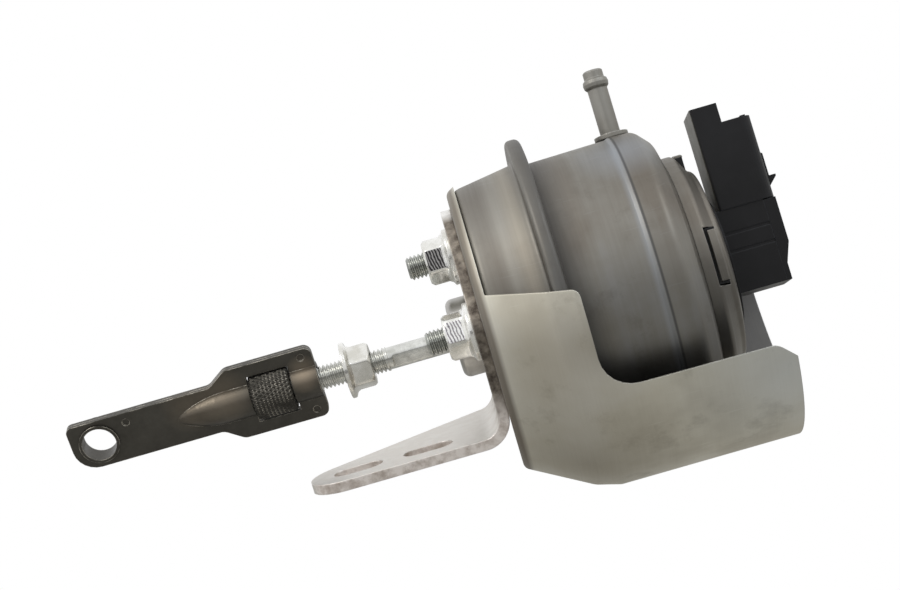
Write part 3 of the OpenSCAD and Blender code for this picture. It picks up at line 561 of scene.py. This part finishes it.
def turned(name, rows, sides, look, at=(0.0, 0.0, 0.0), flip=False, ring=False, sharp=35, start=0.0):
    """Piece through rows that give a station or height and a radius at an angle.

    Flip has the heights run to the front, ring joins the last row to the first, and sharp is the
    angle in degrees over which an edge isn't smoothed.
    """
    base = at_axis(*at)
    angles = [start + 2 * math.pi * k / sides for k in range(sides)]
    loops = []
    for row in rows:
        loop = []
        for angle in angles:
            x, r = row(angle)
            step = Vector((-x if flip else x, r * math.sin(angle), r * math.cos(angle))) * MM
            loop.append(base + step)
        loops.append(loop)
    piece = lofted(name, loops, look, ring)
    piece.data.shade_smooth()
    piece.data.set_sharp_from_angle(angle=math.radians(sharp))
    return piece


def fixed(x, r):
    return lambda angle: (x, r)


def outline_rows(points):
    """Rows of plain circles through the points of an outline."""
    return [fixed(x, r) for x, r in points]


def steps(start, end, size):
    """Even steps from start to end, as near to the size as they come out."""
    count = max(1, round((end - start) / size))
    return [start + (end - start) * k / count for k in range(count + 1)]


THREAD_MAJOR = 3.0
THREAD_MINOR = 2.42
THREAD_TIP_R = 2.3
THREAD_FADE = 0.9
THREAD_STEP = 0.125
THREAD_SIDES = 48
PITCH = 1.0
ROOT_SHARE = 0.14
SLOPE_SHARE = 0.72


def thread_row(x, start, end):
    """One row of an M6 thread that fades at its inner end and is chamfered at its tip."""
    fade = min(1.0, max(0.0, (end - x) / THREAD_FADE))
    cone = THREAD_TIP_R + (x - start)

    def row(angle):
        phase = (x / PITCH + angle / (2 * math.pi)) % 1.0
        crest = min(1.0, max(0.0, (abs(2 * phase - 1) - ROOT_SHARE) / SLOPE_SHARE))
        r = THREAD_MAJOR - (THREAD_MAJOR - THREAD_MINOR) * (1 - crest) * fade
        return x, min(r, cone)

    return row


def thread_rows(start, end):
    return [thread_row(x, start, end) for x in steps(start, end, THREAD_STEP)]


ROD_THREAD = (-60.0, -22.2)
ROD_NECK_R = 2.75
FLATS_X = (-20.9, -18.0, -15.0, -11.65)
FLATS_HALF = 2.3
FLATS_END = 0.05
ROUND_X = (-11.6, -8.0)
SHOULDER_X = (5.1, 6.8)
SHOULDER_R = 4.5
SEAT_R = 2.9
PEENED_X = (9.6, 9.9, 10.5, 10.8)
PEENED_R = (4.5, 4.2, 3.7)


def make_rod():
    """The rod: thread, spanner flats, smooth neck, and the shoulder and peened end at the piston."""
    neck = ROD_NECK_R

    def flats_row(x):
        def row(angle):
            side = abs(math.sin(angle + LINK_ROLL))
            return x, min(neck, FLATS_HALF / max(side, 1e-6))
        return row

    rows = thread_rows(*ROD_THREAD)
    rows += outline_rows([(ROD_THREAD[1] + FLATS_END, neck), (FLATS_X[0] - FLATS_END, neck)])
    rows += [flats_row(x) for x in FLATS_X]
    rows += outline_rows([(x, neck) for x in ROUND_X])
    rows += outline_rows([
        (SHOULDER_X[0], neck), (SHOULDER_X[0] + CREASE, SHOULDER_R),
        (SHOULDER_X[1], SHOULDER_R), (SHOULDER_X[1] + CREASE, SEAT_R),
        (PEENED_X[0], SEAT_R), (PEENED_X[0] + CREASE, PEENED_R[0]),
        *zip(PEENED_X[1:], PEENED_R),
    ])
    rod = turned("rod_threaded", rows, THREAD_SIDES, "rod")
    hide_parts("rod")
    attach(rod, "rod_assembly")


STUDS = {"top": (0.0, 19.8), "near": (-19.5, 3.7), "far": (19.5, -2.3)}
STUD_THREAD = (-11.4, 0.4)
STUD_SHANK_X = (0.5, 4.2)
STUD_HEAD_R = 4.5
STUD_BACK = 5.8
STUD_EDGE = 0.2


def make_studs():
    """The three studs with their heads behind the front can's wall."""
    for key, (across, up) in STUDS.items():
        rows = thread_rows(*STUD_THREAD)
        rows += outline_rows([(x, THREAD_MAJOR) for x in STUD_SHANK_X])
        rows += outline_rows([
            (STUD_SHANK_X[1] + CREASE, STUD_HEAD_R), (STUD_BACK - STUD_EDGE, STUD_HEAD_R),
            (STUD_BACK, STUD_HEAD_R - STUD_EDGE),
        ])
        stud = turned("stud_%s_threaded" % key, rows, THREAD_SIDES, "stud", (0.0, across, up))
        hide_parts("stud_" + key)
        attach(stud, "housing")


NUT_AF = 10.0
NUT_H = 6.8
NUT_SIDES = 96
CORNER_R = NUT_AF / 2 / math.cos(math.pi / 6) - 0.15
CHAMFER_H = 0.8
CHAMFER_SLOPE = 0.9
BORE_R = 3.05
BORE_EDGE = 0.45
TOP_R = 4.35
FLANGE_R = 7.0
FLANGE_H = 0.85
FLANGE_OUTLINE = (
    (0.0, BORE_R), (0.0, 6.85), (0.12, FLANGE_R), (FLANGE_H, FLANGE_R), (1.05, 6.85),
)
# Heights over the nut's seat, with how far the hexagon is still drawn out to the flange's circle
DOME = ((1.2, 0.72), (1.35, 0.45), (1.6, 0.2), (1.95, 0.06), (2.3, 0.0))
HEX_HEIGHTS = (3.2, 4.2, 5.2, 6.0, 6.3, 6.6, NUT_H - 0.05)
# Turns about the axis in degrees, and for a marked face its direction, from up towards far
LOCK_NUT_X = -33.0
LOCK_NUT_TURN = 52
NUT_TURNS = {"top": 12, "near": 22, "far": 5}
NUT_MARKS = {"top": (282, "marked"), "near": (292, "etched")}
MARK_HALF = math.radians(26)
MARK_HEIGHTS = (2.3, 6.3)
MARK_INNER_R = 4.4


def nut_row(x, dome, turn):
    """A row at a height of the nut, between its hexagon and the flange's circle."""
    top = CORNER_R - max(0.0, x - (NUT_H - CHAMFER_H)) * CHAMFER_SLOPE

    def row(angle):
        part = (angle - turn) % (math.pi / 3) - math.pi / 6
        r = NUT_AF / 2 / math.cos(part) * (1 - dome) + FLANGE_R * dome
        return x, min(r, top) if dome == 0 else r

    return row


def mark_face(nut, at, direction, look):
    """Gives the nut's flat in a direction another look."""
    nut.data.materials.append(MATERIALS[look])
    low, high = MARK_HEIGHTS
    for face in nut.data.polygons:
        local = face.center - at_axis(*at)
        angle = math.atan2(local.y, local.z) % (2 * math.pi)
        in_height = low < abs(local.x) / MM < high
        outside = Vector((local.y, local.z)).length > MARK_INNER_R * MM
        if abs(angle - math.radians(direction)) < MARK_HALF and in_height and outside:
            face.material_index = 1


def make_nut(name, node, body, at, turn, flip, mark=None):
    """Flange nut with a domed flange, a chamfered hexagon and a chamfered bore."""
    turn = math.radians(turn)
    rows = outline_rows(FLANGE_OUTLINE)
    rows += [nut_row(x, dome, turn) for x, dome in DOME]
    rows += [nut_row(x, 0.0, turn) for x in HEX_HEIGHTS]
    rows += outline_rows([
        (NUT_H, TOP_R), (NUT_H, BORE_R + BORE_EDGE), (NUT_H - BORE_EDGE, BORE_R),
    ])
    nut = turned(name, rows, NUT_SIDES, "zinc", at, flip, ring=True, sharp=24, start=turn)
    if mark:
        mark_face(nut, at, *mark)
    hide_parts(node)
    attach(nut, body)


def make_nuts():
    """The studs' three nuts and the rod's lock nut."""
    for key, turn in NUT_TURNS.items():
        name, at, mark = "nut_%s_flanged" % key, (0.0, *STUDS[key]), NUT_MARKS.get(key)
        make_nut(name, "nut_" + key, "housing", at, turn, True, mark)
    at = (LOCK_NUT_X, 0.0, 0.0)
    make_nut("lock_nut_flanged", "lock_nut", "rod_assembly", at, LOCK_NUT_TURN, False)


KNURL_X = -51.5
KNURL_HALF = 5.0
KNURL_R = 5.85
KNURL_DEPTH = 0.28
KNURL_EDGE = 0.6
KNURL_EDGE_DROP = 0.55
KNURL_PEAK = 1.7
KNURL_COUNT = 34
KNURL_LEAD = 1.9
KNURL_STEP = 0.119
KNURL_SIDES = 8 * KNURL_COUNT


def knurl_row(x):
    """A row of diamonds, where two slanting sets of grooves cross."""
    edge = min(1.0, (KNURL_HALF - abs(x - KNURL_X)) / KNURL_EDGE)

    def row(angle):
        turn = angle * KNURL_COUNT / (2 * math.pi)
        u = abs(2 * ((turn + x / KNURL_LEAD) % 1.0) - 1)
        v = abs(2 * ((turn - x / KNURL_LEAD) % 1.0) - 1)
        peak = min(1.0, KNURL_PEAK * min(u, v))
        return x, KNURL_R - KNURL_DEPTH * (1 - peak) - KNURL_EDGE_DROP * (1 - edge)

    return row


def make_knurl():
    """The adjusting nut with its diamond knurl."""
    front, back = KNURL_X - KNURL_HALF, KNURL_X + KNURL_HALF
    rows = [knurl_row(x) for x in steps(front, back, KNURL_STEP)]
    rows = [fixed(front, BORE_R), *rows, fixed(back, BORE_R)]
    nut = turned("adjusting_nut_knurled", rows, KNURL_SIDES, "knurl", ring=True, sharp=60)
    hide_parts("adjusting_nut")
    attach(nut, "adjuster")


def make_springs():
    """The two springs, each on its own copy of the mesh and attached to the housing."""
    for node in ("return_spring", "plunger_spring"):
        spring = add_object(node + "_coil", NODES[node].data.copy())
        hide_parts(node)
        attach(spring, "housing")
        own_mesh(spring)


LUG_R = 26.9
CLIP_R = 28.2
CLIP_HALF = 6.1
CLIP_X = (57.95, 60.1)
CLIP_EDGE = 0.25
CLIP_ARCS = 12


def make_clips():
    """Steel tabs of the sensor's cap, pressed over the four lugs of the sensor's flange."""
    half = math.asin(CLIP_HALF / CLIP_R)
    angles = steps(-half, half, 2 * half / CLIP_ARCS)
    front, back = CLIP_X
    sections = (
        (front, CLIP_R - CLIP_EDGE), (front + CLIP_EDGE, CLIP_R),
        (back - CLIP_EDGE, CLIP_R), (back, CLIP_R - CLIP_EDGE),
    )
    for quarter in range(4):
        roll = CANISTER_TURN + quarter * math.pi / 2
        loops = []
        for x, r in sections:
            outline = [(-r * math.cos(a), r * math.sin(a)) for a in angles]
            outline += [(-LUG_R, CLIP_HALF), (-LUG_R, -CLIP_HALF)]
            loops.append([at_axis(x, across, up, roll) for across, up in outline])
        clip = lofted("sensor_clip_%d" % quarter, loops, "can")
        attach(clip, "housing")


# Floor, cards, world and lamps. The cards are seen in reflections alone.

CENTRE = (CAD_BOX[0] + CAD_BOX[1]) / 2
FLOOR_Z = CAD_BOX[0].z - 12 * MM
FLOOR_HALF = 4.0
FLOOR_GREY = 0.8
CARD_HALF = 2.4
CARD_AWAY = 1.0
CARD_FALL = 0.9
CARD_RISE = 1.1
LOW_CARD_RISE = 6 * MM
FRONT_SHADES = (
    (0.0, (0.44, 0.435, 0.42)), (0.42, (0.46, 0.455, 0.44)), (0.46, (0.16, 0.155, 0.15)),
    (0.55, (0.16, 0.16, 0.16)), (0.60, (0.78, 0.78, 0.78)), (1.0, (0.98, 0.99, 1.0)),
)
BACK_SHADES = ((0.0, (0.55, 0.55, 0.54)), (0.45, (0.95, 0.95, 0.95)), (1.0, (1.0, 1.0, 1.0)))
LOW_SHADES = ((0.0, (0.44, 0.435, 0.415)), (1.0, (0.44, 0.435, 0.415)))


def bare_material(name):
    """Material without its usual shader, and its node tree."""
    material = bpy.data.materials.new(name)
    material.use_nodes = True
    tree = material.node_tree
    tree.nodes.remove(tree.nodes["Principled BSDF"])
    return material, tree


def flat_sheet(name, corners, material):
    mesh = bpy.data.meshes.new(name)
    mesh.from_pydata(corners, [], [(0, 1, 2, 3)])
    mesh.materials.append(material)
    return add_object(name, mesh)


def level_corners(half_x, half_y, z):
    return [(-half_x, -half_y, z), (half_x, -half_y, z), (half_x, half_y, z), (-half_x, half_y, z)]


def upright_corners(half_x, y, low, high):
    return [(-half_x, y, low), (half_x, y, low), (half_x, y, high), (-half_x, y, high)]


def make_floor():
    """Floor that is white to the camera and grey to the rest of the light."""
    material, tree = bare_material("floor")
    diffuse = tree.nodes.new("ShaderNodeBsdfDiffuse")
    diffuse.inputs["Color"].default_value = (FLOOR_GREY, FLOOR_GREY, FLOOR_GREY, 1)
    glow = tree.nodes.new("ShaderNodeEmission")
    glow.inputs["Strength"].default_value = 1.0
    path = tree.nodes.new("ShaderNodeLightPath")
    pick = tree.nodes.new("ShaderNodeMixShader")
    tree.links.new(path.outputs["Is Camera Ray"], pick.inputs[0])
    tree.links.new(diffuse.outputs[0], pick.inputs[1])
    tree.links.new(glow.outputs[0], pick.inputs[2])
    tree.links.new(pick.outputs[0], tree.nodes["Material Output"].inputs["Surface"])
    floor = flat_sheet("floor", level_corners(FLOOR_HALF, FLOOR_HALF, FLOOR_Z), material)


def make_card(name, corners, stops):
    """Glowing sheet whose shades follow its height, from its foot to its top."""
    material, tree = bare_material(name)
    place = tree.nodes.new("ShaderNodeTexCoord").outputs["Generated"]
    split = tree.nodes.new("ShaderNodeSeparateXYZ")
    ramp = tree.nodes.new("ShaderNodeValToRGB")
    glow = tree.nodes.new("ShaderNodeEmission")
    set_stops(ramp, stops)
    tree.links.new(place, split.inputs[0])
    tree.links.new(split.outputs[2], ramp.inputs["Fac"])
    tree.links.new(ramp.outputs["Color"], glow.inputs["Color"])
    tree.links.new(glow.outputs[0], tree.nodes["Material Output"].inputs["Surface"])
    card = flat_sheet(name, corners, material)
    card.visible_camera = False
    card.visible_diffuse = False
    card.visible_shadow = False
    card.visible_transmission = False


def make_cards():
    """Cards before and behind the part, and one just over the floor."""
    low, high = CENTRE.z - CARD_FALL, CENTRE.z + CARD_RISE
    front, back = CENTRE.y - CARD_AWAY, CENTRE.y + CARD_AWAY
    make_card("front_card", upright_corners(CARD_HALF, front, low, high), FRONT_SHADES)
    make_card("back_card", upright_corners(CARD_HALF, back, low, high), BACK_SHADES)
    ground = level_corners(CARD_HALF, CARD_AWAY, FLOOR_Z + LOW_CARD_RISE)
    make_card("low_card", ground, LOW_SHADES)


WORLD_LIGHT = 0.75


def make_world():
    """World that is white in plain view, in reflections and through glass, and softer as light."""
    world = bpy.data.worlds.new("studio")
    bpy.context.scene.world = world
    world.use_nodes = True
    tree = world.node_tree
    light = tree.nodes["Background"]
    light.inputs["Color"].default_value = (1, 1, 1, 1)
    light.inputs["Strength"].default_value = WORLD_LIGHT
    white = tree.nodes.new("ShaderNodeBackground")
    white.inputs["Color"].default_value = (1, 1, 1, 1)
    path = tree.nodes.new("ShaderNodeLightPath")
    seen = path.outputs["Is Camera Ray"]
    for ray in ("Is Glossy Ray", "Is Transmission Ray"):
        either = tree.nodes.new("ShaderNodeMath")
        either.operation = "MAXIMUM"
        tree.links.new(seen, either.inputs[0])
        tree.links.new(path.outputs[ray], either.inputs[1])
        seen = either.outputs[0]
    pick = tree.nodes.new("ShaderNodeMixShader")
    tree.links.new(seen, pick.inputs[0])
    tree.links.new(light.outputs[0], pick.inputs[1])
    tree.links.new(white.outputs[0], pick.inputs[2])
    tree.links.new(pick.outputs[0], tree.nodes["World Output"].inputs["Surface"])


# A lamp's place from the part's middle, its size, watts and colour
LAMPS = {
    "key": ((-0.45, -0.30, 0.75), 0.50, 2.0, (1.0, 0.97, 0.92)),
    "rim": ((0.55, -0.25, 0.55), 0.40, 0.9, (0.86, 0.93, 1.0)),
}


def make_lamps():
    """Soft round lamps that look at the part's middle."""
    for name, (away, size, watts, colour) in LAMPS.items():
        data = bpy.data.lights.new(name, "AREA")
        data.shape = "DISK"
        data.size = size
        data.energy = watts
        data.color = colour
        lamp = add_object(name, data)
        lamp.location = CENTRE + Vector(away)
        lamp.rotation_mode = "QUATERNION"
        lamp.rotation_quaternion = (-Vector(away)).to_track_quat("-Z", "Y")


make_camera()
dress_nodes()
make_rod()
make_studs()
make_nuts()
make_knurl()
make_springs()
make_clips()
make_floor()
make_cards()
make_world()
make_lamps()
